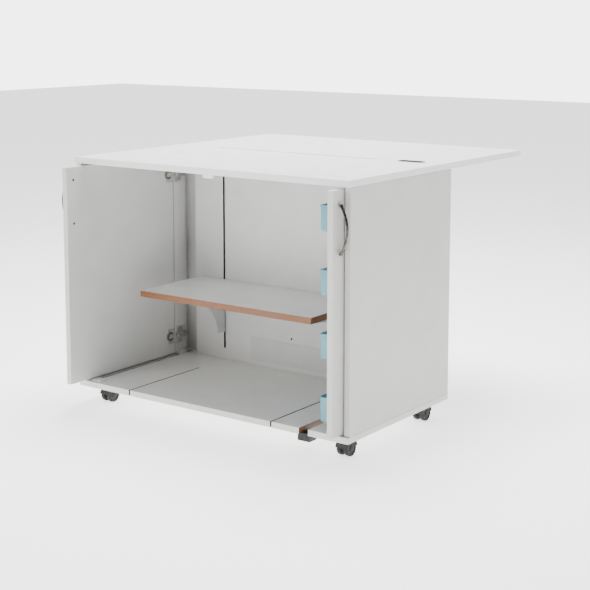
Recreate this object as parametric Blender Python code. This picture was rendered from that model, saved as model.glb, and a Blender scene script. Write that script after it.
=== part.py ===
"""Sewing table on casters: pocket doors, a lifting machine shelf, a lid over it and a drop leaf behind.

Metres, +Z up, front towards -Y. The origin is under the middle of the whole table's footprint.
"""

import math

import bmesh
import bpy
from mathutils import Matrix, Vector

# Overall sizes
TOP_WIDTH = 1.022
BODY_DEPTH = 0.547
LEAF_DEPTH = 0.453
HEIGHT = 0.780

# Boards
TOP_THICK = 0.019
BOARD = 0.018
SHELF_THICK = 0.020
BACK_THICK = 0.004
INNER_BACK_THICK = 0.006
FRONT_SETBACK = 0.008
EDGE_ROUND = 0.0008

# Clearances
TOUCH = 0.0003
SEAM = 0.0015
DOOR_END_GAP = 0.006
DOOR_SIDE_GAP = 0.0045
RUNNING = 0.0004

# Casters
WHEEL_R = 0.023
CASTER_INSET = {"left": 0.075, "right": 0.045}
CASTER_FRONT_Y = 0.052
CASTER_REAR_INSET = 0.087
CASTER_TRAIL = 0.008
FENDER_GAP = 0.0014
FENDER_WALL = 0.0020
NECK_R = 0.009
NECK_TALL = 0.0045
NECK_CLEAR = 0.0021
AXLE_R = 0.003
WHEEL_OUT = 0.020
WEB_HALF = 0.003

# Base board cuts and the lid opening: margins from the tabletop's left, right and rear edges
SLIT_WIDTH = 0.005
SLIT_REAR_MARGIN = 0.214
NOTCH_MARGIN = 0.1495
NOTCH_WIDTH = 0.031
NOTCH_BLOCK_Y = (0.015, 0.050)
NOTCH_BLOCK_TALL = 0.024
LID_MARGINS = (0.112, 0.161)
LID_FRONT_MARGIN = 0.080
LID_REAR_MARGIN = 0.060
LID_ROD_R = 0.0013
LID_ROD_LENGTH = 0.600
LEDGE_THICK = 0.003
LEDGE_UNDER_TOP = 0.018
LEDGE_UNDER_LID = 0.014
LEDGE_FRONT_HALF = 0.150
LEDGE_RIGHT_Y = (0.200, 0.360)
PORT_MARGIN = 0.109
PORT_REAR_MARGIN = 0.0495
PORT_LENGTH = 0.092
PORT_WIDTH = 0.036
PORT_WALL = 0.0035
PORT_FLANGE = 0.0015

# Doors, their followers and hinges. The left door stands a little further out than the right one.
DOOR_HINGE_MARGIN = {"left": 0.136, "right": 0.103}
DOOR_CLOSED_Y = FRONT_SETBACK
FOLLOWER_WIDTH = 0.056
FOLLOWER_FIN = (0.003, 0.004)
FIN_SETBACK = 0.010
TRACK_INSET = 0.029
TRACK_WIDTH = 0.0045
TRACK_DEPTH = 0.006
CUP_FROM_FLOOR = 0.068
CUP_FROM_TOP = 0.071
CUP_R = 0.0175
CUP_DEPTH = 0.0115
CUP_EDGE = 0.005
FLANGE_EDGE = 0.0085
LINK_RISE = 0.0038
LINK_EDGE = 0.006
ROLLER_GAP = 0.002
ROLLER_X = (0.004, 0.040)
STOP_HALF = 0.018
STOP_TALL = 0.014
HANDLE_LENGTH = 0.146
HANDLE_REACH = 0.030
HANDLE_INSET = 0.028
HANDLE_DROP = 0.113
HANDLE_R = 0.0036
FOOT_LEAN = 1.0
BIN_COUNT = 4
BIN_FROM_FLOOR = 0.021
BIN_FROM_TOP = 0.131
BIN_TALL = 0.075
BIN_DEEP = 0.070
BIN_DOOR_MARGINS = (0.059, 0.094)
BIN_WALL = 0.0025
BIN_ROUND = 0.016

# Lifting shelf
SHELF_MARGINS = (0.002, 0.080)
SHELF_FRONT_Y = 0.165
SHELF_BACK_GAP = 0.0015
SHELF_RISE = 0.273
GUSSET_MARGINS = (0.100, 0.023)
GUSSET_THICK = 0.003
GUSSET_TALL = 0.158
GUSSET_FOOT = 0.036
GUSSET_REACH = 0.246
GUSSET_LIP = 0.010
BACK_INSET = 0.041
LIFT_SPACE = 0.039
INNER_BACK_INSET = 0.073
BACK_SLIT_RISE = 0.038
BACK_SLIT_WIDTH = 0.008
RAIL_SIZE = (0.020, 0.008)
CARRIAGE_SIZE = (0.036, 0.150)
CARRIAGE_GAP = 0.004
CARRIAGE_BACK_GAP = 0.003
CROSS_BAR_Z = (0.020, 0.060)
CROSS_BAR_Y = (0.002, 0.014)
PEEP_X = -0.020
PEEP_RISE = 0.108
PEEP_R = 0.004

# Drop leaf
LEAF_PIN_R = 0.0032
LEAF_HINGE_LENGTH = 0.760
LEAF_HINGE_WIDTH = 0.026
HINGE_SHEET = 0.0018
STRUT_MARGIN = 0.211
STRUT_DROP = 0.260
STRUT_RECESS = 0.018
STRUT_WIDTH = 0.016
STRUT_THICK = 0.0025
STRUT_PIN_R = 0.003
STRUT_STAND_OFF = 0.014

# Places that follow from the sizes above
HALF = TOP_WIDTH / 2
LID_X = (-HALF + LID_MARGINS[0], HALF - LID_MARGINS[1])
LID_Y = (LID_FRONT_MARGIN, BODY_DEPTH - LID_REAR_MARGIN)
SHELF_X = (LID_X[0] + SHELF_MARGINS[0], LID_X[1] - SHELF_MARGINS[1])
GUSSET_X = (SHELF_X[0] + GUSSET_MARGINS[0], SHELF_X[1] - GUSSET_MARGINS[1])
SLIT_DEPTH = BODY_DEPTH - SLIT_REAR_MARGIN
NOTCH_X = HALF - NOTCH_MARGIN
PORT_X = HALF - PORT_MARGIN
PORT_Y = BODY_DEPTH - PORT_REAR_MARGIN
STRUT_X = HALF - STRUT_MARGIN
CASTER_REAR_Y = BODY_DEPTH - CASTER_REAR_INSET
BACK_Y = BODY_DEPTH - BACK_INSET
INNER_BACK_Y = BACK_Y - LIFT_SPACE
SHELF_Y = (SHELF_FRONT_Y, INNER_BACK_Y - SHELF_BACK_GAP)
DOOR_HINGE_Y = {word: BODY_DEPTH - margin for word, margin in DOOR_HINGE_MARGIN.items()}
DOOR_WIDTH = HALF - BOARD - DOOR_SIDE_GAP - SEAM
DOOR_PROUD = DOOR_WIDTH - min(DOOR_HINGE_Y.values())
REAR_EDGE = BODY_DEPTH + SEAM + LEAF_DEPTH
FRONT = DOOR_PROUD - (REAR_EDGE + DOOR_PROUD) / 2
TOP_Z = HEIGHT - TOP_THICK
BASE_Z = 2 * WHEEL_R + FENDER_GAP + NECK_TALL + NECK_CLEAR
FLOOR_Z = BASE_Z + BOARD
INNER_HALF = HALF - BOARD
INNER_BACK_HALF = INNER_HALF - INNER_BACK_INSET
TRACK_X = INNER_HALF - TRACK_INSET
SHELF_TOP = FLOOR_Z + SHELF_RISE
BACK_SLIT_FOOT = FLOOR_Z + BACK_SLIT_RISE
CUP_SETBACK = CUP_R + CUP_EDGE
CUP_Z = (FLOOR_Z + CUP_FROM_FLOOR, TOP_Z - CUP_FROM_TOP)
HANDLE_Z = TOP_Z - HANDLE_DROP
BIN_LOW, BIN_HIGH = FLOOR_Z + BIN_FROM_FLOOR, TOP_Z - BIN_FROM_TOP
BIN_Y = (DOOR_HINGE_Y["right"] - DOOR_WIDTH + BIN_DOOR_MARGINS[0], DOOR_HINGE_Y["right"] - BIN_DOOR_MARGINS[1])
DOOR_Z = (FLOOR_Z + DOOR_END_GAP, TOP_Z - DOOR_END_GAP)
DOOR_FACE = INNER_HALF - DOOR_SIDE_GAP - BOARD
PIVOT_X = DOOR_FACE + BOARD / 2
LEAF_AXIS_Y = BODY_DEPTH + SEAM / 2
LEAF_AXIS_Z = TOP_Z - TOUCH - LEAF_PIN_R - HINGE_SHEET / 2
LID_AXIS_Z = HEIGHT + LID_ROD_R + TOUCH
STRUT_WALL = Vector((0.0, LEAF_AXIS_Y - STRUT_RECESS, LEAF_AXIS_Z - STRUT_DROP))
STRUT_LEAF = Vector((0.0, LEAF_AXIS_Y + STRUT_DROP, LEAF_AXIS_Z - STRUT_STAND_OFF))

FINISHES = {
    "white_laminate": ((0.83, 0.84, 0.85), 0.38, 0.0),
    "white_carcase": ((0.80, 0.80, 0.80), 0.45, 0.0),
    "mdf_edge_board": ((0.78, 0.78, 0.78), 0.45, 0.0),
    "white_plastic": ((0.82, 0.82, 0.81), 0.40, 0.0),
    "teal_plastic": ((0.42, 0.68, 0.72), 0.25, 0.0),
    "dark_nickel": ((0.16, 0.15, 0.15), 0.30, 1.0),
    "zinc_steel": ((0.55, 0.56, 0.57), 0.38, 1.0),
    "black_plastic": ((0.02, 0.02, 0.02), 0.45, 0.0),
    "grey_plastic": ((0.18, 0.19, 0.20), 0.50, 0.0),
    "caster_tyre": ((0.03, 0.03, 0.03), 0.55, 0.0),
}


def at(x, depth, z):
    """World point from the middle plane, the distance behind the front edge, and the height."""
    return Vector((x, FRONT + depth, z))


def finish(name):
    """The material of that name, made on first use."""
    material = bpy.data.materials.get(name)
    if material is None:
        colour, roughness, metallic = FINISHES[name]
        material = bpy.data.materials.new(name)
        material.use_nodes = True
        shader = material.node_tree.nodes["Principled BSDF"]
        shader.inputs["Base Color"].default_value = (*colour, 1.0)
        shader.inputs["Roughness"].default_value = roughness
        shader.inputs["Metallic"].default_value = metallic
        material.diffuse_color = (*colour, 1.0)
    return material


def place(name, shape, finish_name, origin=None, smooth=False):
    """Turns a bmesh in world coordinates into a named object whose origin is the given point."""
    origin = origin or Vector((0.0, 0.0, 0.0))
    bmesh.ops.recalc_face_normals(shape, faces=shape.faces)
    bmesh.ops.translate(shape, verts=shape.verts, vec=-origin)
    mesh = bpy.data.meshes.new(name)
    shape.to_mesh(mesh)
    shape.free()
    item = bpy.data.objects.new(name, mesh)
    item.location = origin
    if finish_name:
        mesh.materials.append(finish(finish_name))
    if smooth:
        mesh.shade_smooth()
        mesh.set_sharp_from_angle(angle=math.radians(35))
    bpy.context.scene.collection.objects.link(item)
    return item


def block_shape(low, high):
    """A box between two corners."""
    shape = bmesh.new()
    size = high - low
    middle = (low + high) / 2
    bmesh.ops.create_cube(shape, size=1.0, matrix=Matrix.Translation(middle) @ Matrix.Diagonal((*size, 1.0)))
    return shape


def prism_shape(outline, axis, start, end):
    """An outline in the two other axes, in X, Y, Z order, carried along the named axis."""
    shape = bmesh.new()
    other = [i for i in range(3) if i != axis]
    corners = []
    for first, second in outline:
        point = Vector((0.0, 0.0, 0.0))
        point[axis], point[other[0]], point[other[1]] = start, first, second
        corners.append(shape.verts.new(point))
    face = shape.faces.new(corners)
    made = bmesh.ops.extrude_face_region(shape, geom=[face])["geom"]
    step = Vector((0.0, 0.0, 0.0))
    step[axis] = end - start
    bmesh.ops.translate(shape, verts=[v for v in made if isinstance(v, bmesh.types.BMVert)], vec=step)
    return shape


def turned_shape(profile, centre, axis, steps=28):
    """A profile of (height along the axis, radius), from axis to axis, turned about that axis."""
    turn = {0: Matrix.Rotation(math.pi / 2, 4, "Y"), 2: Matrix.Identity(4)}[axis]
    shape = bmesh.new()
    line = [shape.verts.new((radius, 0.0, height)) for height, radius in profile]
    edges = [shape.edges.new(pair) for pair in zip(line, line[1:])]
    bmesh.ops.spin(shape, geom=line + edges, cent=(0, 0, 0), axis=(0, 0, 1), angle=2 * math.pi,
                   steps=steps, use_merge=True, use_duplicate=False)
    bmesh.ops.remove_doubles(shape, verts=shape.verts, dist=1e-6)
    bmesh.ops.transform(shape, verts=shape.verts, matrix=Matrix.Translation(centre) @ turn)
    return shape


def rod_shape(centre, axis, radius, start, end, steps=20):
    """A round bar along X or Z between two distances from its centre."""
    return turned_shape([(start, 0.0), (start, radius), (end, radius), (end, 0.0)], centre, axis, steps)


def capsule(start, end, radius, steps=8):
    """The outline of a bar with round ends between two (y, z) points."""
    run = math.atan2(end[1] - start[1], end[0] - start[0])
    points = []
    for centre, first in ((end, run - math.pi / 2), (start, run + math.pi / 2)):
        for i in range(steps + 1):
            angle = first + math.pi * i / steps
            points.append((centre[0] + radius * math.cos(angle), centre[1] + radius * math.sin(angle)))
    return points


def helper(shape):
    """A hidden object for a Boolean."""
    item = place("helper", shape, None)
    item.hide_render = True
    item.display_type = "WIRE"
    return item


def boolean(item, shape, operation):
    """Cuts a shape from an object, or joins it on."""
    step = item.modifiers.new(operation.lower(), "BOOLEAN")
    step.operation = operation
    step.solver = "EXACT"
    step.object = helper(shape)
    return item


def cut(item, shape):
    """Takes a shape away."""
    return boolean(item, shape, "DIFFERENCE")


def join(item, shape):
    """Adds a shape."""
    return boolean(item, shape, "UNION")


def ease(item, width=EDGE_ROUND):
    """Rounds the sharp edges a little."""
    step = item.modifiers.new("ease", "BEVEL")
    step.width = width
    step.segments = 2
    step.limit_method = "ANGLE"
    step.angle_limit = math.radians(50)
    return item


def board(name, low, high, finish_name="white_laminate", origin=None):
    """A flat rectangular board with eased edges."""
    return ease(place(name, block_shape(low, high), finish_name, origin))


def build_carcase():
    """Base board, side panels, tabletop and the two backs."""
    base = place("base_board", block_shape(at(-HALF, 0, BASE_Z), at(HALF, BODY_DEPTH, FLOOR_Z)), "white_carcase")
    through = (BASE_Z - BOARD, FLOOR_Z + BOARD)
    for x in GUSSET_X:
        cut(base, block_shape(at(x - SLIT_WIDTH / 2, -BOARD, through[0]),
                              at(x + SLIT_WIDTH / 2, SLIT_DEPTH, through[1])))
    cut(base, block_shape(at(NOTCH_X - NOTCH_WIDTH / 2, -BOARD, through[0]),
                          at(NOTCH_X + NOTCH_WIDTH / 2, SLIT_DEPTH, through[1])))
    for side in (-1, 1):
        middle = side * TRACK_X
        cut(base, block_shape(at(middle - TRACK_WIDTH / 2, FRONT_SETBACK, FLOOR_Z - TRACK_DEPTH),
                              at(middle + TRACK_WIDTH / 2, max(DOOR_HINGE_Y.values()) + FOLLOWER_WIDTH, through[1])))
    ease(base)
    for side, word in ((-1, "left"), (1, "right")):
        inner, outer = sorted((side * INNER_HALF, side * HALF))
        board("side_panel_" + word, at(inner, FRONT_SETBACK, FLOOR_Z + TOUCH), at(outer, BODY_DEPTH, TOP_Z - TOUCH),
              "white_carcase")
    top = place("tabletop", block_shape(at(-HALF, 0, TOP_Z), at(HALF, BODY_DEPTH, HEIGHT)), "white_laminate")
    cut(top, block_shape(at(LID_X[0] - SEAM / 2, LID_Y[0] - SEAM / 2, TOP_Z - BOARD),
                         at(LID_X[1] + SEAM / 2, LID_Y[1] + SEAM / 2, HEIGHT + BOARD)))
    cut(top, port_shape(PORT_LENGTH / 2 - PORT_WALL + TOUCH, PORT_WIDTH / 2 - PORT_WALL + TOUCH,
                        TOP_Z - BOARD, HEIGHT + BOARD))
    ease(top)
    slit = BACK_SLIT_WIDTH / 2
    tall = TOP_Z - TOUCH
    outline = [(-INNER_BACK_HALF, FLOOR_Z + TOUCH), (INNER_BACK_HALF, FLOOR_Z + TOUCH), (INNER_BACK_HALF, tall)]
    for x in reversed(GUSSET_X):
        outline += [(x + slit, tall), (x + slit, BACK_SLIT_FOOT), (x - slit, BACK_SLIT_FOOT), (x - slit, tall)]
    outline.append((-INNER_BACK_HALF, tall))
    inner = place("inner_back_panel", prism_shape(outline, 1, FRONT + INNER_BACK_Y,
                                                  FRONT + INNER_BACK_Y + INNER_BACK_THICK), "white_carcase")
    turns = [math.tau * i / 16 for i in range(16)]
    ring = [(PEEP_X + PEEP_R * math.cos(turn), FLOOR_Z + PEEP_RISE + PEEP_R * math.sin(turn)) for turn in turns]
    cut(inner, prism_shape(ring, 1, FRONT + INNER_BACK_Y - BOARD, FRONT + INNER_BACK_Y + BOARD))
    place("rear_panel", block_shape(at(-INNER_HALF + TOUCH, BACK_Y, FLOOR_Z + TOUCH),
                                    at(INNER_HALF - TOUCH, BACK_Y + BACK_THICK, tall)), "white_carcase")
    board("notch_block", at(NOTCH_X - NOTCH_WIDTH, NOTCH_BLOCK_Y[0], BASE_Z - NOTCH_BLOCK_TALL),
          at(NOTCH_X + NOTCH_WIDTH / 3, NOTCH_BLOCK_Y[1], BASE_Z - TOUCH), "black_plastic")


def port_shape(half_long, half_wide, low, high):
    """A long rounded opening for the machine's cables."""
    straight = half_long - half_wide
    middle = FRONT + PORT_Y
    outline = capsule((PORT_X - straight, middle), (PORT_X + straight, middle), half_wide, 12)
    return prism_shape(outline, 2, low, high)


def build_port():
    """A flanged ring lining the cable opening."""
    long, wide = PORT_LENGTH / 2, PORT_WIDTH / 2
    ring = place("cable_port_ring", port_shape(long, wide, HEIGHT + TOUCH, HEIGHT + PORT_FLANGE), "grey_plastic")
    join(ring, port_shape(long - PORT_WALL, wide - PORT_WALL, TOP_Z, HEIGHT + PORT_FLANGE / 2))
    cut(ring, port_shape(long - 1.6 * PORT_WALL, wide - 1.6 * PORT_WALL, TOP_Z - BOARD, HEIGHT + BOARD))


def build_lid():
    """The lid over the machine opening, its hinge rod and the ledges that it rests on."""
    axis = at(0.0, LID_Y[1] + SEAM / 2, LID_AXIS_Z)
    board("machine_lid", at(LID_X[0] + SEAM / 2, LID_Y[0] + SEAM / 2, TOP_Z),
          at(LID_X[1] - SEAM / 2, LID_Y[1] - SEAM / 2, HEIGHT), origin=axis)
    middle = (LID_X[0] + LID_X[1]) / 2
    place("lid_hinge_rod", rod_shape(axis + Vector((middle, 0, 0)), 0, LID_ROD_R, -LID_ROD_LENGTH / 2,
                                     LID_ROD_LENGTH / 2, 12), "zinc_steel", smooth=True)
    ledge = (TOP_Z - TOUCH - LEDGE_THICK, TOP_Z - TOUCH)
    board("lid_ledge_front", at(middle - LEDGE_FRONT_HALF, LID_Y[0] - LEDGE_UNDER_TOP, ledge[0]),
          at(middle + LEDGE_FRONT_HALF, LID_Y[0] + LEDGE_UNDER_LID, ledge[1]), "zinc_steel")
    board("lid_ledge_right", at(LID_X[1] - LEDGE_UNDER_LID, LEDGE_RIGHT_Y[0], ledge[0]),
          at(LID_X[1] + LEDGE_UNDER_TOP, LEDGE_RIGHT_Y[1], ledge[1]), "zinc_steel")


def build_leaf():
    """The drop leaf, its long hinge, and the folding struts that hold it up."""
    axis = at(0.0, LEAF_AXIS_Y, LEAF_AXIS_Z)
    board("rear_leaf", at(-HALF, BODY_DEPTH + SEAM, TOP_Z), at(HALF, REAR_EDGE, HEIGHT), origin=axis)
    sheet = (TOP_Z - TOUCH - HINGE_SHEET, TOP_Z - TOUCH)
    run = LEAF_HINGE_LENGTH / 2
    fixed = place("leaf_hinge_fixed", rod_shape(axis, 0, LEAF_PIN_R, -run, run, 16), "zinc_steel", smooth=True)
    join(fixed, block_shape(at(-run + TOUCH, LEAF_AXIS_Y - LEAF_HINGE_WIDTH, sheet[0]),
                            at(run - TOUCH, LEAF_AXIS_Y - LEAF_PIN_R / 4, sheet[1])))
    near = LEAF_AXIS_Y + LEAF_PIN_R + 2 * RUNNING
    place("leaf_hinge_moving", block_shape(at(-run, near, sheet[0]), at(run, near + LEAF_HINGE_WIDTH, sheet[1])),
          "zinc_steel", axis)
    for side, word in ((-1, "left"), (1, "right")):
        build_strut(side * STRUT_X, word)


def build_strut(x, word):
    """Two flat links between a bracket on the back and a bracket under the leaf."""
    shift = Vector((x, FRONT, 0.0))
    wall, leaf = STRUT_WALL + shift, STRUT_LEAF + shift
    knee = (wall + leaf) / 2
    tab = STRUT_WIDTH / 2
    hole = STRUT_PIN_R + RUNNING
    back = FRONT + BACK_Y + BACK_THICK + TOUCH
    under = TOP_Z - TOUCH
    for point, sense, kind in ((wall, 1, "lower"), (leaf, -1, "upper")):
        inner, outer = sorted((x + sense * 0.0005, x + sense * (0.0005 + STRUT_THICK)))
        link = place(f"strut_{kind}_{word}", prism_shape(capsule(point.yz, knee.yz, tab), 0, inner, outer),
                     "zinc_steel", Vector((x, point.y, point.z)), smooth=True)
        cut(link, rod_shape(point, 0, hole, -BOARD, BOARD))
        near, far = sorted((x + sense * (STRUT_THICK + 0.001), x + sense * (2 * STRUT_THICK + 0.001)))
        name = f"strut_bracket_{'wall' if sense > 0 else 'leaf'}_{word}"
        if sense > 0:
            tab_shape = block_shape(Vector((near, back, point.z - tab)), Vector((far, point.y + tab, point.z + tab)))
            foot = block_shape(Vector((x - tab, back, point.z - 2 * tab)),
                               Vector((far + tab, back + STRUT_THICK, point.z + 2 * tab)))
        else:
            tab_shape = block_shape(Vector((near, point.y - tab, point.z - tab)), Vector((far, point.y + tab, under)))
            foot = block_shape(Vector((near - tab, point.y - 2 * tab, under - STRUT_THICK)),
                               Vector((x + tab, point.y + 2 * tab, under)))
        bracket = place(name, tab_shape, "zinc_steel", None if sense > 0 else at(0.0, LEAF_AXIS_Y, LEAF_AXIS_Z))
        join(bracket, foot)
        pin = sorted((sense * 0.0004, sense * (STRUT_THICK + 0.002)))
        join(bracket, rod_shape(point, 0, STRUT_PIN_R, pin[0], pin[1]))


def build_lift():
    """The machine shelf, its gussets through the inner back, and the guides behind."""
    board("lift_shelf", at(SHELF_X[0], SHELF_Y[0], SHELF_TOP - SHELF_THICK), at(SHELF_X[1], SHELF_Y[1], SHELF_TOP),
          "mdf_edge_board")
    under = SHELF_TOP - SHELF_THICK - TOUCH
    foot_z = under - GUSSET_TALL
    carriage_y = INNER_BACK_Y + INNER_BACK_THICK + CARRIAGE_GAP
    back_y = carriage_y - TOUCH
    front_y = SHELF_Y[1] - GUSSET_FOOT
    reach = GUSSET_REACH - GUSSET_FOOT
    outline = [(back_y, foot_z)]
    for i in range(13):
        angle = math.pi / 2 * i / 12
        outline.append((front_y - reach * (1 - math.cos(angle)),
                        foot_z + (GUSSET_TALL - GUSSET_LIP) * math.sin(angle)))
    outline += [(front_y - reach, under), (back_y, under)]
    outline = [(FRONT + depth, z) for depth, z in outline]
    rail_x, rail_y = RAIL_SIZE
    wide, tall = CARRIAGE_SIZE
    rail_front = BACK_Y - TOUCH - rail_y
    for x, word in zip(GUSSET_X, ("left", "right")):
        place("shelf_gusset_" + word, prism_shape(outline, 0, x - GUSSET_THICK / 2, x + GUSSET_THICK / 2),
              "zinc_steel")
        board("guide_rail_" + word, at(x - rail_x / 2, rail_front, FLOOR_Z + TOUCH),
              at(x + rail_x / 2, BACK_Y - TOUCH, TOP_Z - 3 * TOUCH), "zinc_steel")
        carriage = place("lift_carriage_" + word, block_shape(
            at(x - wide / 2, carriage_y, foot_z),
            at(x + wide / 2, BACK_Y - CARRIAGE_BACK_GAP, foot_z + tall)), "grey_plastic")
        cut(carriage, block_shape(at(x - rail_x / 2 - RUNNING, rail_front - RUNNING, foot_z - BOARD),
                                  at(x + rail_x / 2 + RUNNING, BACK_Y + BOARD, foot_z + tall + BOARD)))
    board("lift_cross_bar", at(GUSSET_X[0] + wide / 2 + TOUCH, carriage_y + CROSS_BAR_Y[0], foot_z + CROSS_BAR_Z[0]),
          at(GUSSET_X[1] - wide / 2 - TOUCH, carriage_y + CROSS_BAR_Y[1], foot_z + CROSS_BAR_Z[1]), "zinc_steel")


def build_door(side, word):
    """A door pushed back beside its side panel, with its follower, hinges and handle."""
    hinge_y = DOOR_HINGE_Y[word]
    pivot = at(side * PIVOT_X, hinge_y - BOARD / 2, DOOR_Z[0])
    inner, outer = sorted((side * DOOR_FACE, side * (DOOR_FACE + BOARD)))
    low = at(inner, hinge_y - DOOR_WIDTH, DOOR_Z[0])
    door = place("door_" + word, block_shape(low, at(outer, hinge_y, DOOR_Z[1])), "white_laminate", pivot)
    follower_y = hinge_y + DOOR_SIDE_GAP
    follower = place("door_follower_" + word, block_shape(
        at(inner, follower_y, DOOR_Z[0]), at(outer, follower_y + FOLLOWER_WIDTH, DOOR_Z[1])), "white_carcase")
    fin_x = sorted((side * (TRACK_X - FOLLOWER_FIN[0] / 2), side * (DOOR_FACE + BOARD / 2)))
    fin_y = (follower_y + FIN_SETBACK, follower_y + FOLLOWER_WIDTH - FIN_SETBACK)
    join(follower, block_shape(at(fin_x[0], fin_y[0], DOOR_Z[0] - 0.003), at(fin_x[1], fin_y[1], DOOR_Z[0] + 0.006)))
    fin_x = sorted((side * (TRACK_X - FOLLOWER_FIN[0] / 2), side * (TRACK_X + FOLLOWER_FIN[0] / 2)))
    join(follower, block_shape(at(fin_x[0], fin_y[0], FLOOR_Z - FOLLOWER_FIN[1]),
                               at(fin_x[1], fin_y[1], DOOR_Z[0] + 0.001)))
    for z, level in zip(CUP_Z, ("lower", "upper")):
        build_cup_hinge(door, side, z, word, level, pivot)
    ease(door)
    build_handle(side, word, pivot)
    roller_y = (DOOR_CLOSED_Y + ROLLER_GAP, DOOR_CLOSED_Y + BOARD + DOOR_SIDE_GAP + FIN_SETBACK - ROLLER_GAP)
    board("door_roller_" + word, *sorted_corners(
        at(side * (DOOR_FACE - ROLLER_X[0]), roller_y[0], FLOOR_Z + TOUCH),
        at(side * (DOOR_FACE - ROLLER_X[1]), roller_y[1], DOOR_Z[0] - 2 * RUNNING)), "white_plastic")


def sorted_corners(first, second):
    """The low and high corners of the box between two points."""
    return (Vector(map(min, first, second)), Vector(map(max, first, second)))


def build_cup_hinge(door, side, z, word, level, pivot):
    """A concealed hinge: a cup sunk in the door and an arm on the follower."""
    hinge_y = DOOR_HINGE_Y[word]
    cup_y = hinge_y - CUP_SETBACK
    face = at(side * DOOR_FACE, cup_y, z)
    inward = -side
    pocket = sorted((-inward * (CUP_DEPTH + TOUCH), inward * BOARD))
    cut(door, rod_shape(face, 0, CUP_R + TOUCH, pocket[0], pocket[1], 28))
    heights = [-inward * CUP_DEPTH, inward * 0.0012]
    cup = place(f"hinge_cup_{level}_{word}", rod_shape(face, 0, CUP_R, min(heights), max(heights), 28),
                "dark_nickel", pivot, smooth=True)
    flange = CUP_R + FLANGE_EDGE
    join(cup, block_shape(*sorted_corners(face + Vector((inward * TOUCH, -0.010, -flange)),
                                          face + Vector((inward * 0.0015, CUP_SETBACK - 0.004, flange)))))
    bowl = sorted((-inward * (CUP_DEPTH - 0.0015), inward * BOARD))
    cut(cup, rod_shape(face, 0, CUP_R - 0.0015, bowl[0], bowl[1], 28))
    join(cup, block_shape(*sorted_corners(face + Vector((-inward * (CUP_DEPTH - 0.001), -0.008, -0.007)),
                                          face + Vector((inward * LINK_RISE, 0.008, 0.007)))))
    join(cup, block_shape(*sorted_corners(face + Vector((inward * 0.0010, -0.0075, -0.0065)),
                                          face + Vector((inward * (LINK_RISE - 0.0002), CUP_SETBACK - LINK_EDGE, 0.0065)))))
    start = hinge_y + DOOR_SIDE_GAP + 0.001
    arm = place(f"hinge_arm_{level}_{word}", block_shape(*sorted_corners(
        at(side * DOOR_FACE + inward * TOUCH, start + 0.004, z - 0.028),
        at(side * DOOR_FACE + inward * 0.0025, start + 0.034, z + 0.028))), "dark_nickel")
    join(arm, block_shape(*sorted_corners(at(side * DOOR_FACE + inward * 0.001, start, z - 0.009),
                                          at(side * DOOR_FACE + inward * 0.011, start + FOLLOWER_WIDTH - 0.006, z + 0.009))))
    ease(arm, 0.0012)


def build_handle(side, word, pivot):
    """A bow handle whose feet flare where they meet the door."""
    count = 24
    spread = HANDLE_LENGTH / 2
    face = side * (DOOR_FACE + BOARD)
    y = DOOR_HINGE_Y[word] - DOOR_WIDTH + HANDLE_INSET
    curve = bpy.data.curves.new("door_handle_" + word, "CURVE")
    curve.dimensions = "3D"
    curve.bevel_depth = HANDLE_R
    curve.bevel_resolution = 2
    curve.use_fill_caps = True
    line = curve.splines.new("POLY")
    line.points.add(count)
    lift = HANDLE_REACH - HANDLE_R
    for i, point in enumerate(line.points):
        along = 2 * i / count - 1
        flare = 1 + 0.7 * abs(along) ** 8
        bow = 1 - along ** 2
        off = TOUCH + FOOT_LEAN * HANDLE_R * flare + (lift - HANDLE_R) * bow
        spot = at(face + side * off, y, HANDLE_Z + spread * along) - pivot
        point.co = (*spot, 1.0)
        point.radius = flare
    item = bpy.data.objects.new("door_handle_" + word, curve)
    item.location = pivot
    curve.materials.append(finish("dark_nickel"))
    bpy.context.scene.collection.objects.link(item)


def build_bins():
    """Open bins in a column on the right door's inner face."""
    pivot = at(PIVOT_X, DOOR_HINGE_Y["right"] - BOARD / 2, DOOR_Z[0])
    face = DOOR_FACE - TOUCH
    rounded = BIN_ROUND
    for number in range(1, BIN_COUNT + 1):
        z = BIN_LOW + (BIN_HIGH - BIN_LOW) * (number - 1) / (BIN_COUNT - 1)
        corner = (face - BIN_DEEP + rounded, z + rounded)
        outline = [(face, z), (face, z + BIN_TALL), (face - BIN_DEEP, z + BIN_TALL)]
        for i in range(7):
            angle = math.pi + math.pi / 2 * i / 6
            outline.append((corner[0] + rounded * math.cos(angle), corner[1] + rounded * math.sin(angle)))
        tray = place(f"door_bin_{number}", prism_shape(outline, 1, FRONT + BIN_Y[0], FRONT + BIN_Y[1]),
                     "teal_plastic", pivot)
        cut(tray, block_shape(at(face - BIN_DEEP + BIN_WALL, BIN_Y[0] + BIN_WALL, z + rounded * 0.4),
                              at(face - BIN_WALL, BIN_Y[1] - BIN_WALL, z + BIN_TALL + BOARD)))
        ease(tray, 0.0007)


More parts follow.
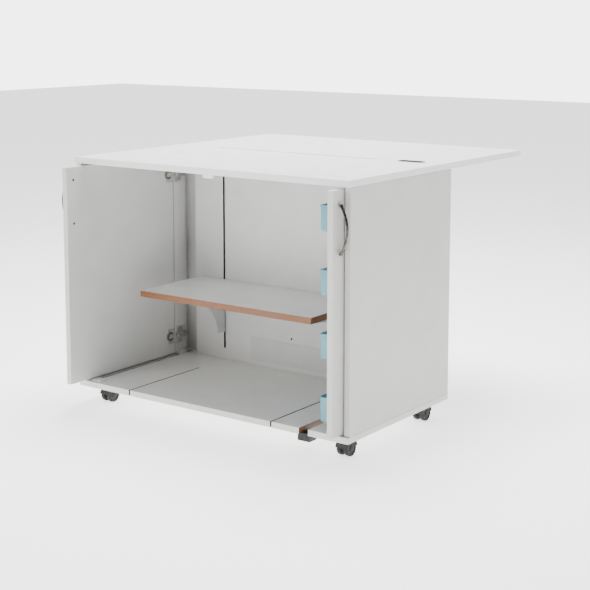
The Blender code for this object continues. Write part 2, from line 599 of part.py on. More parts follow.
def build_caster(x, depth, word):
    """A twin-wheel swivel caster."""
    swivel = at(x, depth, BASE_Z)
    hub = at(x, depth + CASTER_TRAIL, WHEEL_R)
    profile = [(WHEEL_OUT, 0.0), (WHEEL_OUT, 0.008), (WHEEL_OUT - 0.002, 0.0095), (WHEEL_OUT - 0.002, 0.019),
               (WHEEL_OUT - 0.001, WHEEL_R - 0.0015), (WHEEL_OUT - 0.0025, WHEEL_R), (0.0065, WHEEL_R),
               (0.005, WHEEL_R - 0.0015), (0.005, AXLE_R)]
    full = profile + [(-height, radius) for height, radius in reversed(profile)]
    place("caster_wheels_" + word, turned_shape(full, hub, 0, 32), "caster_tyre", hub, smooth=True)
    inner, outer = WHEEL_R + FENDER_GAP, WHEEL_R + FENDER_GAP + FENDER_WALL
    arc = [math.radians(8 + 164 * i / 16) for i in range(17)]
    band = [(hub.y + outer * math.cos(a), hub.z + outer * math.sin(a)) for a in arc]
    inside = [(hub.y + inner * math.cos(a), hub.z + inner * math.sin(a)) for a in reversed(arc)]
    fork = place("caster_fork_" + word, prism_shape(band + inside, 0, x - WHEEL_OUT, x + WHEEL_OUT),
                 "black_plastic", swivel, smooth=True)
    mean = inner + FENDER_WALL / 2
    web = [(hub.y + mean * math.cos(a), hub.z + mean * math.sin(a)) for a in arc]
    web += [(hub.y - 0.008, hub.z - 0.008), (hub.y + 0.008, hub.z - 0.008)]
    join(fork, prism_shape(web, 0, x - WEB_HALF, x + WEB_HALF))
    top = BASE_Z - TOUCH
    join(fork, rod_shape(Vector((x, swivel.y, 0.0)), 2, NECK_R, hub.z + inner + 0.0006, top, 24))
    cut(fork, rod_shape(hub, 0, AXLE_R + RUNNING, -BOARD, BOARD))


def main():
    """Builds the whole table in an empty scene."""
    for item in list(bpy.data.objects):
        bpy.data.objects.remove(item)
    build_carcase()
    build_port()
    build_lid()
    build_leaf()
    build_lift()
    for side, word in ((-1, "left"), (1, "right")):
        build_door(side, word)
    stop_y = DOOR_CLOSED_Y + BOARD + ROLLER_GAP
    board("door_stop_centre", at(-STOP_HALF, stop_y, TOP_Z - TOUCH - STOP_TALL),
          at(STOP_HALF, stop_y + STOP_HALF, TOP_Z - TOUCH), "white_plastic")
    build_bins()
    for depth, row in ((CASTER_FRONT_Y, "front"), (CASTER_REAR_Y, "rear")):
        for side, word in ((-1, "left"), (1, "right")):
            build_caster(side * (HALF - CASTER_INSET[word]), depth, f"{row}_{word}")


main()
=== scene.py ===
"""Sewing table on casters: finishes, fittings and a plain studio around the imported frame.

The frame gives the boards, doors, leaf, shelf and casters in metres, +Z up, front towards -Y. This script
dresses every node, and adds the bins, handles, screws, rivets and wheels as finished meshes.
"""

import logging
import math
from dataclasses import dataclass, field
from enum import Enum

import bmesh
import bpy
import numpy as np
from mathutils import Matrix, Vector

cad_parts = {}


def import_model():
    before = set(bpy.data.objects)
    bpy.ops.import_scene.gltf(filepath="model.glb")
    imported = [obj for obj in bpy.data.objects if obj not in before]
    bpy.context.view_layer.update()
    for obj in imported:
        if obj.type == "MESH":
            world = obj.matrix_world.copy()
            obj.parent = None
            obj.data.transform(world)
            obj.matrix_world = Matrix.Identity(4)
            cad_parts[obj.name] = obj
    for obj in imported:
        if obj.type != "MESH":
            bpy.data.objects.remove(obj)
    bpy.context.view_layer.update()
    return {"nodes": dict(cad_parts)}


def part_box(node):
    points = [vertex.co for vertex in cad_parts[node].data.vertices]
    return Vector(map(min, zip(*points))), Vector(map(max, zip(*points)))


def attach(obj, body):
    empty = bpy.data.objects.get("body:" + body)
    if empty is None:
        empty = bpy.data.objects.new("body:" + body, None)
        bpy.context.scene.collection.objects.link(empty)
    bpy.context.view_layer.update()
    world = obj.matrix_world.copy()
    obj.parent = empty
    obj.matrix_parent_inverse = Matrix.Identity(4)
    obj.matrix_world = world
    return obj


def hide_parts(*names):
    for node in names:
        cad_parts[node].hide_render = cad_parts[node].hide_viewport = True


LOG = logging.getLogger("sewing_table")
MM = 0.001
SHARP_ANGLE = math.radians(32)
SIDEWAYS = 0.6  # a face whose normal has more than this along an axis looks along that axis
SENSOR_MM = 36.0
Point = tuple[float, float, float]


class Side(Enum):
    """Which side of the table a piece is on, as its sign along X."""

    LEFT = -1
    RIGHT = 1

    @property
    def word(self) -> str:
        """The word used in node names."""
        return self.name.lower()


# ---------------------------------------------------------------------------------------------- nodes


def linear(hex_colour: str) -> tuple[float, float, float, float]:
    """Turns an sRGB hex colour to linear RGBA.

    Args:
        hex_colour: six hex digits, such as "f2f1ee".

    Returns:
        Linear red, green, blue and an alpha of 1.
    """
    parts = np.array([int(hex_colour[i:i + 2], 16) for i in (0, 2, 4)]) / 255
    bright = np.where(parts <= 0.04045, parts / 12.92, ((parts + 0.055) / 1.055) ** 2.4)
    return (*(float(v) for v in bright), 1.0)


def add_node(tree: bpy.types.NodeTree, kind: str, inputs: dict | None = None, **settings) -> bpy.types.Node:
    """Adds a node, sets its properties, and fills or links its inputs.

    Args:
        tree: the material's or world's node tree.
        kind: the node's type name after "ShaderNode".
        inputs: input name or index to a constant, or to the output socket that feeds it.
        settings: properties of the node.

    Returns:
        The new node.
    """
    node = tree.nodes.new("ShaderNode" + kind)
    for name, value in settings.items():
        setattr(node, name, value)
    for key, value in (inputs or {}).items():
        if isinstance(value, bpy.types.NodeSocket):
            tree.links.new(value, node.inputs[key])
        else:
            node.inputs[key].default_value = value
    return node


def noise(tree: bpy.types.NodeTree, place: bpy.types.NodeSocket, size_mm: float, detail: float = 3.0):
    """A noise pattern whose blobs are about size_mm across. Returns its value socket."""
    pattern = add_node(tree, "TexNoise", {"Vector": place, "Scale": 1 / (size_mm * MM), "Detail": detail})
    return pattern.outputs["Fac"]


def remap(tree: bpy.types.NodeTree, value: bpy.types.NodeSocket, low: float, high: float, start: float = 0.3,
          end: float = 0.7):
    """Maps a pattern's middle range to new limits. Returns the result socket."""
    return add_node(tree, "MapRange", {"Value": value, "From Min": start, "From Max": end, "To Min": low,
                                       "To Max": high}).outputs["Result"]


def combine(tree: bpy.types.NodeTree, operation: str, first, second):
    """One Math node. Returns its value socket."""
    return add_node(tree, "Math", {0: first, 1: second}, operation=operation).outputs["Value"]


def size_of(tree: bpy.types.NodeTree, value: bpy.types.NodeSocket):
    """The absolute value of a socket. Returns its value socket."""
    return add_node(tree, "Math", {0: value}, operation="ABSOLUTE").outputs["Value"]


def mix_colour(tree: bpy.types.NodeTree, share, first, second):
    """Mixes two colours, given as sockets or RGBA, by a share. Returns the colour socket."""
    node = add_node(tree, "Mix", data_type="RGBA")
    for key, value in (("Factor_Float", share), ("A_Color", first), ("B_Color", second)):
        entry = next(s for s in node.inputs if s.identifier == key)
        if isinstance(value, bpy.types.NodeSocket):
            tree.links.new(value, entry)
        else:
            entry.default_value = value
    return next(s for s in node.outputs if s.identifier == "Result_Color")


@dataclass(frozen=True)
class Finish:
    """A finish: its colours, gloss and the real size of its surface texture.

    Attributes:
        name: what the real material is and how its surface was made.
        colour: main colour, sRGB hex.
        shade: second colour that the main one drifts to, sRGB hex.
        roughness: lowest and highest roughness.
        metallic: 0 for a dielectric, 1 for a metal.
        grain_mm: width of the surface's fine bumps.
        bump_mm: height of those bumps.
        drift_mm: width of the slow change of colour.
    """

    name: str
    colour: str
    shade: str
    roughness: tuple[float, float] = (0.35, 0.45)
    metallic: float = 0.0
    grain_mm: float = 1.0
    bump_mm: float = 0.02
    drift_mm: float = 90.0

    def colour_socket(self, tree: bpy.types.NodeTree, place: bpy.types.NodeSocket):
        """The colour over the surface. Returns a colour socket."""
        return mix_colour(tree, remap(tree, noise(tree, place, self.drift_mm), 0.0, 1.0), linear(self.colour),
                          linear(self.shade))

    def height_socket(self, tree: bpy.types.NodeTree, place: bpy.types.NodeSocket):
        """The height of the fine texture, 0 to 1. Returns a value socket."""
        return noise(tree, place, self.grain_mm, 2.0)

    def tune(self, shader: bpy.types.Node) -> None:
        """Sets what is the same all over the surface, on the shader's own sockets."""
        shader.inputs["Metallic"].default_value = self.metallic

    def make(self) -> bpy.types.Material:
        """Builds the material, or returns the one already made.

        Returns:
            A material with one Principled shader fed by object coordinates.
        """
        found = bpy.data.materials.get(self.name)
        if found:
            return found
        material = bpy.data.materials.new(self.name)
        material.use_nodes = True
        tree = material.node_tree
        shader = tree.nodes["Principled BSDF"]
        place = add_node(tree, "TexCoord").outputs["Object"]
        tree.links.new(self.colour_socket(tree, place), shader.inputs["Base Color"])
        wear = remap(tree, noise(tree, place, self.drift_mm * 0.4), *self.roughness)
        tree.links.new(wear, shader.inputs["Roughness"])
        bump = add_node(tree, "Bump", {"Height": self.height_socket(tree, place), "Distance": self.bump_mm * MM,
                                       "Strength": 0.6})
        tree.links.new(bump.outputs["Normal"], shader.inputs["Normal"])
        self.tune(shader)
        return material


@dataclass(frozen=True)
class CutBoard(Finish):
    """Faced fibreboard whose cut edges show the raw brown core; in the slits of the inner back they are painted
    near black as painted shade.

    Attributes:
        core_and_slit_shade: colour of the raw core, sRGB hex; in the inner back's slits it is a near-black
            painted shade.
        core_and_slit_shade_dark: its darker fibres, sRGB hex; in those slits, a darker painted shade.
        half_width: faces across X further out than this stay white, in metres.
        across_y: whether faces across Y show the core too.
    """

    core_and_slit_shade: str = "a97d57"
    core_and_slit_shade_dark: str = "7d5536"
    half_width: float = 10.0
    across_y: bool = False

    def colour_socket(self, tree: bpy.types.NodeTree, place: bpy.types.NodeSocket):
        """White faces, and fibrous brown where a face looks sideways inside the board's outline; on the inner
        back that brown is near black, a painted shade.
        """
        face = Finish.colour_socket(self, tree, place)
        fibres = remap(tree, noise(tree, place, 1.6, 5.0), 0.0, 1.0)
        core_and_slit_shade = mix_colour(tree, fibres, linear(self.core_and_slit_shade), linear(self.core_and_slit_shade_dark))
        turn = add_node(tree, "SeparateXYZ", {0: add_node(tree, "NewGeometry").outputs["True Normal"]})
        spot = add_node(tree, "SeparateXYZ", {0: place})
        sideways = combine(tree, "GREATER_THAN", size_of(tree, turn.outputs["X"]), SIDEWAYS)
        if self.across_y:
            along = combine(tree, "GREATER_THAN", size_of(tree, turn.outputs["Y"]), SIDEWAYS)
            sideways = combine(tree, "MAXIMUM", sideways, along)
        out = size_of(tree, spot.outputs["X"])
        inside = combine(tree, "LESS_THAN", out, self.half_width)
        return mix_colour(tree, combine(tree, "MULTIPLY", sideways, inside), face, core_and_slit_shade)


@dataclass(frozen=True)
class BrushedMetal(Finish):
    """Plated metal with fine lines along one axis.

    Attributes:
        along: which axis the lines run along, 0 for X, 1 for Y, 2 for Z.
        line_mm: spacing of the lines, coarser than real ones so that they show.
        stretch: how many times longer than wide each line is.
    """

    along: int = 2
    line_mm: float = 0.8
    stretch: float = 40.0

    def height_socket(self, tree: bpy.types.NodeTree, place: bpy.types.NodeSocket):
        """Noise stretched along the lines."""
        scale = [1 / (self.line_mm * MM)] * 3
        scale[self.along] /= self.stretch
        mapped = add_node(tree, "Mapping", {"Vector": place, "Scale": tuple(scale)}).outputs["Vector"]
        return add_node(tree, "TexNoise", {"Vector": mapped, "Scale": 1.0, "Detail": 2.0}).outputs["Fac"]


@dataclass(frozen=True)
class Translucent(Finish):
    """Moulded translucent plastic that lets some light through.

    Attributes:
        through: share of light that passes through.
        ior: index of refraction.
    """

    through: float = 0.35
    ior: float = 1.49

    def tune(self, shader: bpy.types.Node) -> None:
        """Sets transmission and index on the shader's own sockets."""
        Finish.tune(self, shader)
        shader.inputs["Transmission Weight"].default_value = self.through
        shader.inputs["IOR"].default_value = self.ior


@dataclass(frozen=True)
class Glowing(Finish):
    """A studio floor lit from below, so that it stays white between the shadows.

    Attributes:
        glow: strength of its own light.
    """

    glow: float = 1.7

    def tune(self, shader: bpy.types.Node) -> None:
        """Sets the glow on the shader's own sockets."""
        Finish.tune(self, shader)
        shader.inputs["Emission Color"].default_value = linear("ffffff")
        shader.inputs["Emission Strength"].default_value = self.glow


class Finishes:
    """Every finish on the table, each named for the real material."""

    # Melamine faced board: even cool white, satin, with a pebble grain under a millimetre wide.
    TOP = Finish("melamine_cool_white", "f8f9fb", "f3f4f7", (0.34, 0.42), 0.0, 1.4, 0.015)
    # The same melamine on the sides, back and doors: warm white, greyed down as painted shade so that it reads
    # darker than the top.
    CARCASE = Finish("melamine_warm_white", "d3d2cf", "cdccc9", (0.40, 0.50), 0.0, 1.4, 0.02)
    # The same board slit by a saw, so brown fibreboard shows on the walls of its cuts.
    SLIT_BOARD = CutBoard("melamine_slit_fibreboard", "e2e1de", "dcdbd8", (0.40, 0.50), 0.0, 1.4, 0.02, 90.0,
                          "74492b", "4c2e1a", 0.495, False)
    # Thin board of the inner back; the walls of its two slits are painted near-black brown as painted shade from
    # the dark compartment behind.
    SLIT_BACK = CutBoard("melamine_slit_thin_board", "dedddb", "d8d7d4", (0.40, 0.50), 0.0, 1.4, 0.02, 90.0,
                         "2c1b11", "1a100a", 0.40, False)
    # Shelf with unbanded edges: raw compressed wood fibre all round.
    RAW_SHELF = CutBoard("melamine_raw_edged_fibreboard", "dadad6", "d3d3cf", (0.38, 0.48), 0.0, 1.4, 0.02, 90.0,
                         "96623c", "6d4425", 10.0, True)
    # ABS mouldings: slightly creamy white with a soft sheen.
    WHITE_ABS = Finish("moulded_white_abs", "efefec", "e6e6e3", (0.35, 0.45), 0.0, 1.0, 0.02, 30.0)
    # Polystyrene bins: pale blue green and see-through, with a glossy skin.
    TEAL = Translucent("moulded_teal_polystyrene", "7fc0ce", "6ab1c1", (0.12, 0.22), 0.0, 6.0, 0.02, 60.0)
    # Nickel plate over zinc, darkened: warm black with long fine lines.
    NICKEL = BrushedMetal("dark_nickel_plate", "5c5854", "46423f", (0.22, 0.34), 1.0, 1.0, 0.01, 20.0)
    # Powder coated pressed steel: pale grey with a soft orange peel.
    PAINTED = Finish("powder_coated_steel", "c9cbca", "bfc1c0", (0.42, 0.52), 0.0, 1.2, 0.05, 30.0)
    # Hinge cups and plates: plain nickel, brighter than the handles.
    HINGE = BrushedMetal("bright_nickel_plate", "d6d4cf", "a9a6a1", (0.30, 0.42), 0.7, 1.0, 0.01, 9.0)
    # Zinc plated pressed steel: cool grey with a faint mottle.
    ZINC = BrushedMetal("zinc_plated_steel", "b4b7ba", "9da1a5", (0.30, 0.42), 1.0, 1.0, 0.01, 14.0)
    # Nylon mouldings of the casters: near black with a spark-eroded texture.
    NYLON = Finish("moulded_black_nylon", "0d0d0e", "131314", (0.38, 0.52), 0.0, 0.9, 0.04, 12.0)
    TREAD = Finish("caster_tread_polyurethane", "0a0a0b", "101011", (0.50, 0.66), 0.0, 1.2, 0.05, 10.0)
    GREY = Finish("moulded_grey_abs", "6a6e72", "5d6165", (0.40, 0.52), 0.0, 0.9, 0.03, 16.0)


def dress(item: bpy.types.Object, finish: Finish) -> None:
    """Gives an object one finish in place of whatever it had."""
    item.data.materials.clear()
    item.data.materials.append(finish.make())


# --------------------------------------------------------------------------------------------- meshes


def grid_mesh(name: str, points: np.ndarray, cap_ends: bool = False) -> bpy.types.Object:
    """Makes an object from a grid of points whose columns close into rings.

    Point (i, j) is joined to (i + 1, j) and (i, j + 1), and column numbers wrap round. Where a row shrinks to a
    point its doubles are merged, which closes the pole.

    Args:
        name: the object's name.
        points: array of rows x columns x 3, in metres.
        cap_ends: whether the first and last rows are filled.

    Returns:
        A closed mesh object with outward faces, at the origin.
    """
    rows, columns = points.shape[:2]
    row = np.arange(rows - 1)[:, None]
    column = np.arange(columns)[None, :]
    after, beside = row + 1, (column + 1) % columns
    corner = [a * columns + b for a, b in ((row, column), (row, beside), (after, beside), (after, column))]
    faces = np.stack([np.broadcast_to(c, (len(row), columns)) for c in corner], axis=-1).reshape(-1, 4).tolist()
    if cap_ends:
        faces += [list(range(columns)), list(range((rows - 1) * columns, rows * columns))]
    mesh = bpy.data.meshes.new(name)
    mesh.from_pydata(points.reshape(-1, 3).tolist(), [], faces)
    work = bmesh.new()
    work.from_mesh(mesh)
    bmesh.ops.remove_doubles(work, verts=work.verts, dist=1e-6)
    bmesh.ops.recalc_face_normals(work, faces=work.faces)
    work.to_mesh(mesh)
    work.free()
    mesh.shade_smooth()
    mesh.set_sharp_from_angle(angle=SHARP_ANGLE)
    item = bpy.data.objects.new(name, mesh)
    bpy.context.scene.collection.objects.link(item)
    return item


def turned(profile: list[tuple[float, float]], centre: Point, axis: Point, steps: int = 40) -> np.ndarray:
    """Points of a profile turned about an axis.

    A profile point (h, r) at angle t goes to centre + h * axis + r * (cos t * u + sin t * v), where u and v
    stand square to the axis.

    Args:
        profile: (height along the axis, radius) pairs in metres.
        centre: a point on the axis.
        axis: the axis direction.
        steps: points round the axis.

    Returns:
        Array of rows x steps x 3.
    """
    line = np.array(profile)
    normal = np.array(axis, float) / np.linalg.norm(axis)
    u = np.cross(normal, (0.0, 0.0, 1.0) if abs(normal[2]) < 0.9 else (1.0, 0.0, 0.0))
    u /= np.linalg.norm(u)
    v = np.cross(normal, u)
    turn = np.linspace(0, math.tau, steps, endpoint=False)
    around = np.cos(turn)[:, None] * u + np.sin(turn)[:, None] * v
    return np.array(centre) + line[:, 0, None, None] * normal + line[:, 1, None, None] * around


def screw_points(centre: Point, axis: Point, radius: float, rise: float, rings: int = 9,
                 steps: int = 32) -> np.ndarray:
    """Points of a domed cross-recess screw head.

    Height above the seat is rise * sqrt(1 - (r / R)^2), less a cross-shaped recess 0.7 rise deep: the recess
    holds where the nearer of |x| and |y| is under R / 7 and r is under 0.6 R.

    Args:
        centre: where the head meets its seat.
        axis: the way the head faces.
        radius: head radius in metres.
        rise: height of the dome in metres.
        rings: rings from rim to middle.
        steps: points round the head.

    Returns:
        Array of rows x steps x 3, from a closed underside to the middle of the dome.
    """
    share = np.concatenate([[0.0, 1.0], np.sqrt(np.linspace(1.0, 0.0, rings))])
    turn = np.linspace(0, math.tau, steps, endpoint=False)
    x, y = share[:, None] * np.cos(turn), share[:, None] * np.sin(turn)
    dome = np.sqrt(np.clip(1 - share ** 2, 0, 1))[:, None] * np.ones(steps) * rise
    crossed = (np.minimum(abs(x), abs(y)) < 1 / 7) & (share[:, None] < 0.6)
    height = dome - np.where(crossed, 0.7 * rise, 0.0)
    height[:2] = 0.0
    normal = np.array(axis, float)
    u = np.cross(normal, (0.0, 0.0, 1.0) if abs(normal[2]) < 0.9 else (1.0, 0.0, 0.0))
    v = np.cross(normal, u)
    return (np.array(centre) + radius * (x[..., None] * u + y[..., None] * v) + height[..., None] * normal)


def swept(path: np.ndarray, wide: np.ndarray, thick: np.ndarray, flat: Point, steps: int = 20) -> np.ndarray:
    """Points of an oval section carried along a path.

    At each path point the section is wide * cos t along flat, and thick * sin t along the cross product of
    the path's direction and flat.

    Args:
        path: points along the middle, rows x 3.
        wide: half width at each point.
        thick: half thickness at each point.
        flat: unit direction of the width, square to the path.
        steps: points round the section.

    Returns:
        Array of rows x steps x 3.
    """
    run = np.gradient(path, axis=0)
    run /= np.linalg.norm(run, axis=1)[:, None]
    side = np.broadcast_to(np.array(flat), run.shape)
    rise = np.cross(run, side)
    turn = np.linspace(0, math.tau, steps, endpoint=False)
    return (path[:, None] + np.cos(turn)[None, :, None] * (wide[:, None] * side)[:, None]
            + np.sin(turn)[None, :, None] * (thick[:, None] * rise)[:, None])


def rounded_ring(low: np.ndarray, high: np.ndarray, radius: float, height: float, steps: int = 8) -> np.ndarray:
    """One level ring of a rectangle with round corners.

    Each corner is a quarter circle of the given radius about a centre set in by that radius.

    Args:
        low: lowest x and y.
        high: highest x and y.
        radius: corner radius.
        height: z of the ring.
        steps: points per corner.

    Returns:
        Array of points x 3.
    """
    turn = np.linspace(0, math.pi / 2, steps)
    arcs = []
    corners = ((high[0], high[1]), (low[0], high[1]), (low[0], low[1]), (high[0], low[1]))
    for index, (x, y) in enumerate(corners):
        angle = turn + index * math.pi / 2
        middle = (x - math.copysign(radius, x - low[0] - 1e-9), y - math.copysign(radius, y - low[1] - 1e-9))
        arcs.append(np.stack([middle[0] + radius * np.cos(angle), middle[1] + radius * np.sin(angle),
                              np.full(steps, height)], axis=1))
    return np.concatenate(arcs)


def add_piece(item: bpy.types.Object, body: str, finish: Finish, slot: str, *replaced: str) -> bpy.types.Object:
    """Dresses a new piece, ties it to its body and reports it.

    Args:
        item: the piece.
        body: the body it moves with.
        finish: its finish.
        slot: a material slot name; it is not used.
        replaced: frame nodes that it stands for.

    Returns:
        The same piece.
    """
    dress(item, finish)
    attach(item, body)
    if replaced:
        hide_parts(*replaced)
    LOG.info("%s rides on %s", item.name, body)
    return item


def joined(name: str, parts: list[bpy.types.Object]) -> bpy.types.Object:
    """Joins like pieces, such as the screws of one hinge, into one object."""
    work = bmesh.new()
    for part in parts:
        work.from_mesh(part.data)
        bpy.data.objects.remove(part)
    mesh = bpy.data.meshes.new(name)
    work.to_mesh(mesh)
    work.free()
    mesh.set_sharp_from_angle(angle=SHARP_ANGLE)
    item = bpy.data.objects.new(name, mesh)
    bpy.context.scene.collection.objects.link(item)
    return item


# ------------------------------------------------------------------------------------- sub-assemblies


@dataclass
class Carcase:
    """Boards and back of the cabinet, with the finishes of their faces and cuts."""

    boards: dict[str, Finish] = field(default_factory=lambda: {
        "tabletop": Finishes.TOP, "machine_lid": Finishes.TOP, "rear_leaf": Finishes.TOP,
        "side_panel_left": Finishes.CARCASE, "side_panel_right": Finishes.CARCASE,
        "rear_panel": Finishes.CARCASE, "base_board": Finishes.SLIT_BOARD,
        "inner_back_panel": Finishes.SLIT_BACK, "lift_shelf": Finishes.RAW_SHELF,
        "door_left": Finishes.CARCASE, "door_right": Finishes.CARCASE,
        "door_follower_left": Finishes.CARCASE, "door_follower_right": Finishes.CARCASE,
        "door_stop_centre": Finishes.WHITE_ABS, "door_roller_left": Finishes.WHITE_ABS,
        "door_roller_right": Finishes.WHITE_ABS, "cable_port_ring": Finishes.GREY,
        "lift_carriage_left": Finishes.GREY, "lift_carriage_right": Finishes.GREY,
        "notch_block": Finishes.NYLON,
    })
    kinds: dict[str, Finish] = field(default_factory=lambda: {
        "hinge_cup": Finishes.HINGE, "hinge_arm": Finishes.HINGE, "shelf_gusset": Finishes.PAINTED,
        "strut_bracket": Finishes.PAINTED, "lid_hinge_rod": Finishes.TOP, "caster_fork": Finishes.NYLON,
        "caster_wheels": Finishes.TREAD, "door_handle": Finishes.NICKEL, "door_bin": Finishes.TEAL,
    })

    def build(self, nodes: dict[str, bpy.types.Object]) -> None:
        """Dresses the boards, and every metal or black node by its kind of name.

        Args:
            nodes: the frame's nodes by name.
        """
        for name, item in nodes.items():
            match = next((finish for start, finish in self.kinds.items() if name.startswith(start)),
                         Finishes.ZINC)
            dress(item, self.boards.get(name, match))


@dataclass
class AccessCover:
    """A thin cover low on the inner back, under the peep hole."""

    across: tuple[float, float] = (-0.187, 0.130)
    rise: tuple[float, float] = (0.016, 0.094)
    thick: float = 2.0 * MM
    edge: float = 0.8 * MM

    def build(self) -> None:
        """Stacks two level rings of a slim rounded slab against the inner back's front face."""
        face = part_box("inner_back_panel")[0][1]
        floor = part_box("base_board")[1][2]
        low = np.array([self.across[0], face - self.thick])
        high = np.array([self.across[1], face])
        rings = [rounded_ring(low, high, self.edge, floor + height) for height in self.rise]
        cover = grid_mesh("access_cover", np.stack(rings), cap_ends=True)
        add_piece(cover, "cabinet", Finishes.CARCASE, "white_carcase")


@dataclass
class Handle:
    """A bow handle: a slim oval bar that arches off the door and flares into round feet."""

    side: Side
    half_width: float = 4.6 * MM
    half_thick: float = 2.9 * MM
    foot_flare: float = 1.7
    rows: int = 56
    screw_head: tuple[float, float] = (4.0 * MM, 1.4 * MM)

    def build(self) -> None:
        """Carries the oval along an arch z = s * u, x = reach * (1 - u^2), flaring as |u|^12."""
        low, high = (np.array(corner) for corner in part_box("door_handle_" + self.side.word))
        face, reach = (low[0], high[0] - low[0]) if self.side is Side.RIGHT else (high[0], low[0] - high[0])
        middle = (low + high) / 2
        along = np.linspace(-1, 1, self.rows)
        spread = (high[2] - low[2]) / 2 - self.half_width * self.foot_flare
        flare = 1 + (self.foot_flare - 1) * abs(along) ** 12
        lift = reach - math.copysign(self.half_thick, reach)
        foot = math.copysign(self.half_thick * self.foot_flare, reach)
        path = np.stack([face + foot + (lift - foot) * (1 - along ** 2), np.full(self.rows, middle[1]),
                         middle[2] + spread * along], axis=1)
        bar = grid_mesh("handle_bar_" + self.side.word, swept(
            path, self.half_width * flare, self.half_thick * flare, (0.0, 1.0, 0.0)), cap_ends=True)
        add_piece(bar, "door_" + self.side.word, Finishes.NICKEL, "dark_nickel",
                  "door_handle_" + self.side.word)
        door_low, door_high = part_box("door_" + self.side.word)
        inner = door_low[0] if self.side is Side.RIGHT else door_high[0]
        inward = (-self.side.value, 0, 0)
        heads = [grid_mesh("head", screw_points((inner, middle[1], middle[2] + sign * spread), inward,
                                                *self.screw_head)) for sign in (-1, 1)]
        add_piece(joined("handle_screws_" + self.side.word, heads), "door_" + self.side.word, Finishes.NICKEL,
                  "dark_nickel")


@dataclass
class Hinges:
    """Screws and adjusters on the concealed hinges of one door, with places from each node's lowest corner."""

    side: Side
    flange_rise: float = 1.5 * MM
    flange_screw: tuple[float, float] = (18.5 * MM, 22 * MM)
    plate_rise: float = 2.5 * MM
    plate_screw: tuple[float, float] = (21 * MM, 21 * MM)
    arm_rise: float = 11 * MM
    arm_screws: tuple[float, float] = (14 * MM, 44 * MM)
    cup_head: tuple[float, float] = (3.2 * MM, 1.1 * MM)
    arm_head: tuple[float, float] = (3.4 * MM, 1.2 * MM)

    def build(self) -> None:
        """Sets two screws in each cup flange, two in each plate, and an adjuster in each arm."""
        word, inward = self.side.word, (-self.side.value, 0, 0)
        door_low, door_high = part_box("door_" + word)
        face = door_low[0] if self.side is Side.RIGHT else door_high[0]
        flange, plate, arm = (face - self.side.value * rise
                              for rise in (self.flange_rise, self.plate_rise, self.arm_rise))
        for level in ("lower", "upper"):
            low, high = (np.array(c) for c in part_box(f"hinge_cup_{level}_{word}"))
            z = (low[2] + high[2]) / 2
            across, up = self.flange_screw
            spots = [(flange, low[1] + across, z + sign * up) for sign in (-1, 1)]
            self.screws(f"hinge_cup_screws_{level}_{word}", spots, inward, self.cup_head, "door_" + word)
            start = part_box(f"hinge_arm_{level}_{word}")[0][1]
            spots = [(plate, start + self.plate_screw[0], z + sign * self.plate_screw[1]) for sign in (1, -1)]
            spots += [(arm, start + along, z) for along in self.arm_screws]
            self.screws(f"hinge_arm_screws_{level}_{word}", spots, inward, self.arm_head, "door_carrier_" + word)

    @staticmethod
    def screws(name: str, spots: list[Point], inward: Point, head: tuple[float, float], body: str) -> None:
        """Adds one piece holding a screw head at each spot.

        Args:
            name: the piece's name.
            spots: where the heads meet their seats.
            inward: the way the heads face.
            head: radius and rise of each head.
            body: the body the piece moves with.
        """
        heads = [grid_mesh("head", screw_points(spot, inward, *head)) for spot in spots]
        add_piece(joined(name, heads), body, Finishes.ZINC, "zinc_steel")


@dataclass
class Bin:
    """One open translucent bin with a rolled lip and soft corners."""

    number: int
    wall: float = 2.2 * MM
    corner: float = 9 * MM
    lip: float = 2.0 * MM
    foot: float = 12 * MM

    def build(self) -> None:
        """Lofts level rings: down the outside, round the foot, across, and up the inside to the lip.

        The foot draws each ring in by foot * (1 - cos) while it drops by foot * sin, a quarter circle.
        """
        name = f"door_bin_{self.number}"
        low, high = (np.array(c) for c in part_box(name))
        outer_low, outer_high = low[:2] + self.lip, high[:2] - np.array([0.0, self.lip])
        rows: list[np.ndarray] = []

        def ring(inset: float, height: float) -> None:
            """Adds one ring drawn in from the outside by inset."""
            radius = max(self.corner - inset, 1.5 * MM)
            rows.append(rounded_ring(outer_low + inset, outer_high - inset, radius, height))

        turn = np.linspace(0, math.pi / 2, 7)
        top, base = high[2], low[2]
        ring(self.foot * 1.4, base)
        for angle in turn[::-1]:
            ring(self.foot * (1 - math.cos(angle)), base + self.foot * (1 - math.sin(angle)))
        ring(0.0, top - 5 * MM)
        ring(-self.lip * 0.9, top - 4 * MM)
        ring(-self.lip * 0.9, top - 0.8 * MM)
        ring(-self.lip * 0.4, top)
        ring(self.wall * 0.7, top)
        ring(self.wall, top - 1 * MM)
        for angle in turn:
            depth = self.foot - self.wall
            ring(self.wall + depth * (1 - math.cos(angle)), base + self.wall + depth * (1 - math.sin(angle)))
        ring(self.foot * 1.4, base + self.wall)
        tray = grid_mesh(f"thread_bin_{self.number}", np.stack(rows), cap_ends=True)
        add_piece(tray, "door_right", Finishes.TEAL, "teal_plastic", name)


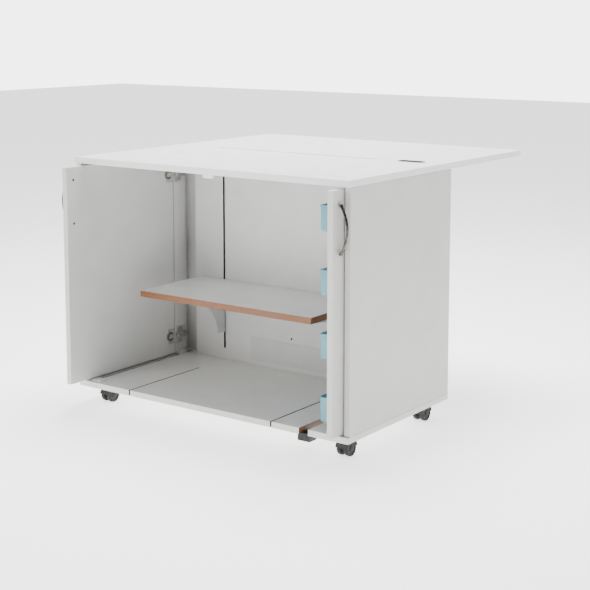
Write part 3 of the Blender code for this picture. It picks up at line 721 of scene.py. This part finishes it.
@dataclass
class CasterWheels:
    """The two wheels of one caster, with a stepped hub and a softly crowned tread."""

    place: str

    def build(self) -> None:
        """Turns a mirrored profile about the axle: hub cap, ring groove, rim, crowned tread, axle."""
        name = "caster_wheels_" + self.place
        low, high = (np.array(c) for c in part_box(name))
        centre = (low + high) / 2
        half, radius = (high[0] - low[0]) / 2, (high[2] - low[2]) / 2
        outer = [(half, 0.0), (half, 3.0 * MM), (half - 0.6 * MM, 5.0 * MM), (half - 0.6 * MM, 8.0 * MM),
                 (half - 1.6 * MM, 9.0 * MM), (half - 2.6 * MM, 10.0 * MM), (half - 2.6 * MM, 14.5 * MM),
                 (half - 1.2 * MM, 16.5 * MM), (half - 0.8 * MM, 20.0 * MM)]
        turn = np.linspace(0, math.pi, 9)
        middle, tread = half / 2 + 2.4 * MM, half / 2 - 3.4 * MM
        crown = [(middle + tread * math.cos(a), radius - 3 * MM + 3 * MM * math.sin(a) ** 0.5) for a in turn]
        whole = outer + crown + [(5.2 * MM, 18 * MM), (5.2 * MM, 3.0 * MM)]
        whole += [(-height, size) for height, size in reversed(whole)]
        wheels = grid_mesh("wheels_" + self.place, turned(whole, tuple(centre), (1, 0, 0), 48))
        add_piece(wheels, name, Finishes.TREAD, "caster_tyre", name)


@dataclass
class Struts:
    """Rivets at the knee of one folding strut."""

    side: Side

    def rivet(self, name: str, spot: Point, body: str, sign: int) -> None:
        """Adds one domed rivet head facing along X."""
        head = [(0.0, 0.0), (0.0, 4.6 * MM), (0.5 * MM, 4.6 * MM), (1.4 * MM, 3.4 * MM), (1.8 * MM, 0.0)]
        add_piece(grid_mesh(name, turned(head, spot, (sign, 0, 0), 24)), body, Finishes.ZINC, "zinc_steel")

    def build(self) -> None:
        """Puts a rivet on the free side of each link, at the knee."""
        word = self.side.word
        for kind, sign in (("lower", 1), ("upper", -1)):
            low, high = (np.array(c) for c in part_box(f"strut_{kind}_{word}"))
            inset = 8 * MM
            end = (high[1] - inset, high[2] - inset) if kind == "lower" else (low[1] + inset, low[2] + inset)
            self.rivet(f"knee_rivet_{kind}_{word}", (high[0] if sign > 0 else low[0], *end),
                       f"strut_{kind}_{word}", sign)


@dataclass
class Studio:
    """Plain pale floor, soft light, and the camera, whose place is given from the tabletop's front edge."""

    eye: Point = (2.478, -2.946, 1.219)
    azimuth: float = 36.06
    lens_mm: float = 82.0556
    tilt: float = 7.9165
    shift: float = -0.16
    sky: float = 0.40
    backdrop: float = 5.0
    floor_half: float = 14.0
    aim: Point = (0.0, 0.0, 0.4)

    def build(self) -> None:
        """Adds the floor, two soft area lights, an even sky, and the camera."""
        span = self.floor_half
        mesh = bpy.data.meshes.new("floor")
        corners = [(-span, -span, 0), (span, -span, 0), (span, span, 0), (-span, span, 0)]
        mesh.from_pydata(corners, [], [(0, 1, 2, 3)])
        floor = bpy.data.objects.new("floor", mesh)
        bpy.context.scene.collection.objects.link(floor)
        dress(floor, Glowing("painted_white_floor", "fbfbfb", "f9f9f9", (0.6, 0.7), 0.0, 3.0, 0.01, 400.0))
        self.light("key", (-1.6, -4.0, 1.7), 1.8, 60.0)
        self.light("top", (-0.3, 0.5, 3.4), 2.0, 330.0)
        world = bpy.data.worlds.new("studio")
        world.use_nodes = True
        tree = world.node_tree
        seen = add_node(tree, "LightPath").outputs["Is Camera Ray"]
        strength = add_node(tree, "MapRange", {"Value": seen, "To Min": self.sky, "To Max": self.backdrop})
        tree.nodes["Background"].inputs["Color"].default_value = linear("ffffff")
        tree.links.new(strength.outputs["Result"], tree.nodes["Background"].inputs["Strength"])
        bpy.context.scene.world = world
        camera = bpy.data.objects.new("camera", bpy.data.cameras.new("camera"))
        bpy.context.scene.collection.objects.link(camera)
        camera.data.sensor_width = SENSOR_MM
        camera.data.lens = self.lens_mm
        camera.data.shift_y = self.shift
        camera.location = Vector(self.eye) + Vector((0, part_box("tabletop")[0][1], 0))
        camera.rotation_euler = (math.radians(90 - self.tilt), 0.0, math.radians(self.azimuth))
        bpy.context.scene.camera = camera

    def light(self, name: str, place: Point, size: float, power: float) -> None:
        """Adds a square area light aimed at the middle of the table."""
        lamp = bpy.data.lights.new(name, "AREA")
        lamp.size, lamp.energy = size, power
        item = bpy.data.objects.new(name, lamp)
        item.location = place
        item.rotation_euler = (Vector(self.aim) - Vector(place)).to_track_quat("-Z", "Y").to_euler()
        bpy.context.scene.collection.objects.link(item)


def main() -> None:
    """Builds the studio and every sub-assembly round the frame."""
    logging.basicConfig(level=logging.INFO, format="%(name)s: %(message)s")
    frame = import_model()
    Studio().build()
    Carcase().build(frame["nodes"])
    AccessCover().build()
    for side in Side:
        Handle(side).build()
        Hinges(side).build()
        Struts(side).build()
    for number in (1, 2, 3, 4):
        Bin(number).build()
    for place in ("front_left", "front_right", "rear_left", "rear_right"):
        CasterWheels(place).build()


if __name__ == "__main__":
    main()
